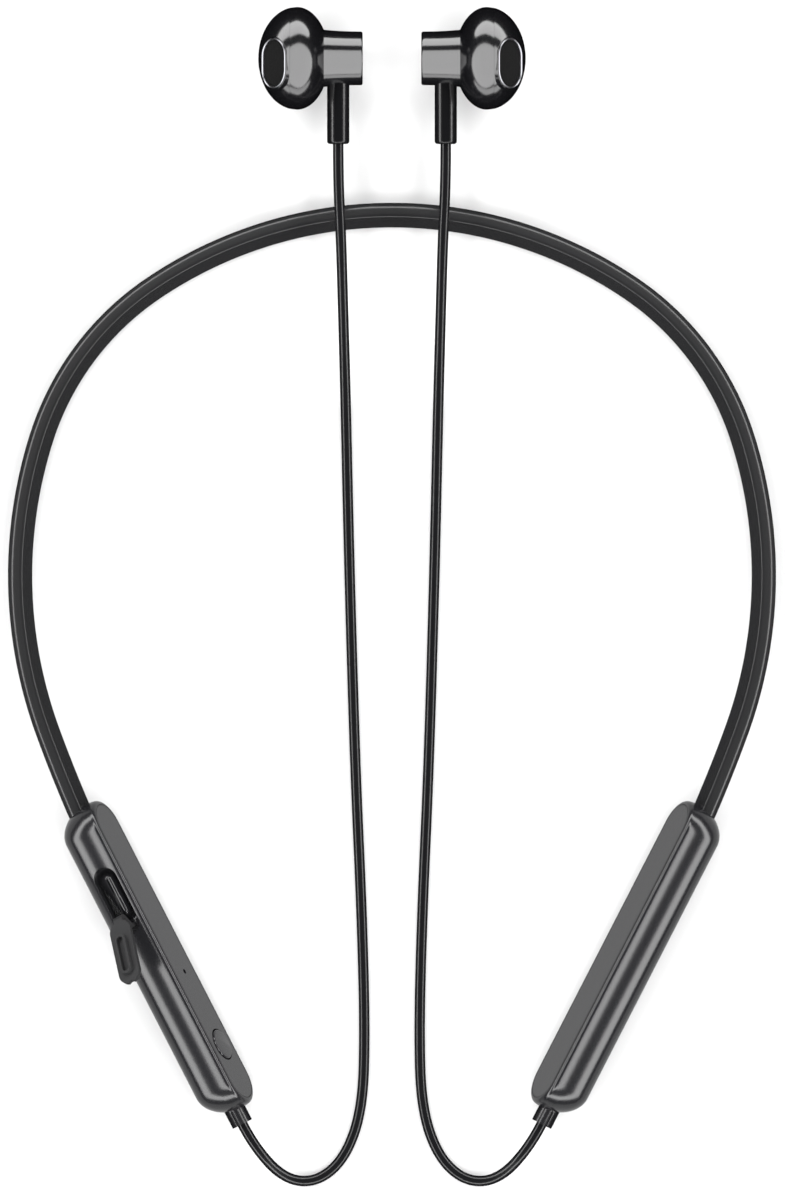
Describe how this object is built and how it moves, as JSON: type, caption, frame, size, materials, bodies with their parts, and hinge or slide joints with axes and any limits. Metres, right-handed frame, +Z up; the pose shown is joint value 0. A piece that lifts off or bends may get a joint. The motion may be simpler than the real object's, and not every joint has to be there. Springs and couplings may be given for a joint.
{
  "type": "neckband earphones",
  "caption": "Neckband wireless earphones: springy U-shaped band, slim pods, charging socket under a rubber flap, call button, and corded half-in-ear earbuds.",
  "frame": {"origin": "middle of the object's footprint on the table it lies on, cords left out", "axes": "+X from the wearer's left pod to the right pod, +Y from the pods to the earbuds, +Z up from the table; x = 0 halves the neckband"},
  "size_m": [0.1348, 0.2069, 0.0204],
  "materials": {
    "band_rubber": "satin black silicone rubber",
    "spring_wire": "drawn spring wire",
    "lead_insulation": "smooth insulated leads",
    "pod_plastic": "satin black moulded plastic",
    "cover_plastic": "satin black moulded plate",
    "soft_black": "soft black moulded rubber",
    "inner_plastic": "black moulded plastic",
    "plated_steel": "nickel-plated pressed steel",
    "gold_contact": "gold-plated contacts",
    "flap_rubber": "matt dark grey silicone rubber",
    "button_plastic": "satin black cap",
    "board_laminate": "green circuit board",
    "chip_resin": "black moulding resin",
    "ceramic": "white ceramic",
    "battery_foil": "foil pouch",
    "foam": "black foam strip",
    "cord_jacket": "satin black cord jacket",
    "bud_plastic": "polished black plastic",
    "rim_metal": "polished dark rim",
    "grille_mesh": "fine dark woven mesh",
    "membrane": "thin clear film",
    "copper_wire": "enamelled copper winding"
  },
  "bodies": {
    "neckband": {"band_sleeve": "band_rubber", "band_memory_wire": "spring_wire", "band_leads": "lead_insulation", "left_pod_shell": "pod_plastic", "left_pod_cover": "cover_plastic", "left_cord_boot": "soft_black", "left_band_clamp": "inner_plastic", "usb_socket_shell": "plated_steel", "usb_socket_tongue": "inner_plastic", "usb_contacts": "gold_contact", "usb_flap_tether": "flap_rubber", "button_switch": "plated_steel", "main_board": "board_laminate", "board_chips": "chip_resin", "aerial": "ceramic", "mic_gasket": "soft_black", "mic_capsule": "plated_steel", "right_pod_shell": "pod_plastic", "right_pod_cover": "cover_plastic", "right_cord_boot": "soft_black", "right_band_clamp": "inner_plastic", "battery_cell": "battery_foil", "battery_foam": "foam", "battery_protection_board": "board_laminate", "left_cord": "cord_jacket", "right_cord": "cord_jacket", "left_bud_front_shell": "bud_plastic", "left_bud_rear_shell": "bud_plastic", "left_bud_nozzle_rim": "rim_metal", "left_bud_nozzle_grille": "grille_mesh", "left_bud_vent_screen": "grille_mesh", "left_bud_stem": "soft_black", "left_bud_barrel_cap": "bud_plastic", "left_bud_clasp_magnet": "plated_steel", "left_bud_driver_frame": "plated_steel", "left_bud_driver_magnet": "plated_steel", "right_bud_front_shell": "bud_plastic", "right_bud_rear_shell": "bud_plastic", "right_bud_nozzle_rim": "rim_metal", "right_bud_nozzle_grille": "grille_mesh", "right_bud_vent_screen": "grille_mesh", "right_bud_stem": "soft_black", "right_bud_barrel_cap": "bud_plastic", "right_bud_clasp_magnet": "plated_steel", "right_bud_driver_frame": "plated_steel", "right_bud_driver_magnet": "plated_steel"},
    "call_button": {"call_button": "button_plastic", "button_plunger": "inner_plastic"},
    "usb_flap": {"usb_flap": "flap_rubber"},
    "left_diaphragm": {"left_bud_diaphragm": "membrane", "left_bud_voice_coil": "copper_wire"},
    "right_diaphragm": {"right_bud_diaphragm": "membrane", "right_bud_voice_coil": "copper_wire"}
  },
  "joints": [
    {"name": "call_button_press", "type": "slide", "parent": "neckband", "child": "call_button", "axis": [-0.8247, -0.4238, -0.3746], "range_m": [0, 0.00035], "stiffness_N_per_m": 400, "springref_m": -0.0005},
    {"name": "usb_flap_hinge", "type": "hinge", "parent": "neckband", "child": "usb_flap", "pos_m": [-0.04643, -0.06345, 0.01208], "axis": [0.8247, 0.4238, 0.3746], "range_deg": [-146, 8], "deforming": ["usb_flap_tether"]},
    {"name": "left_diaphragm_travel", "type": "slide", "parent": "neckband", "child": "left_diaphragm", "axis": [-1, 0, 0], "range_m": [-0.0002, 0.0002], "stiffness_N_per_m": 20},
    {"name": "right_diaphragm_travel", "type": "slide", "parent": "neckband", "child": "right_diaphragm", "axis": [1, 0, 0], "range_m": [-0.0002, 0.0002], "stiffness_N_per_m": 20}
  ]
}
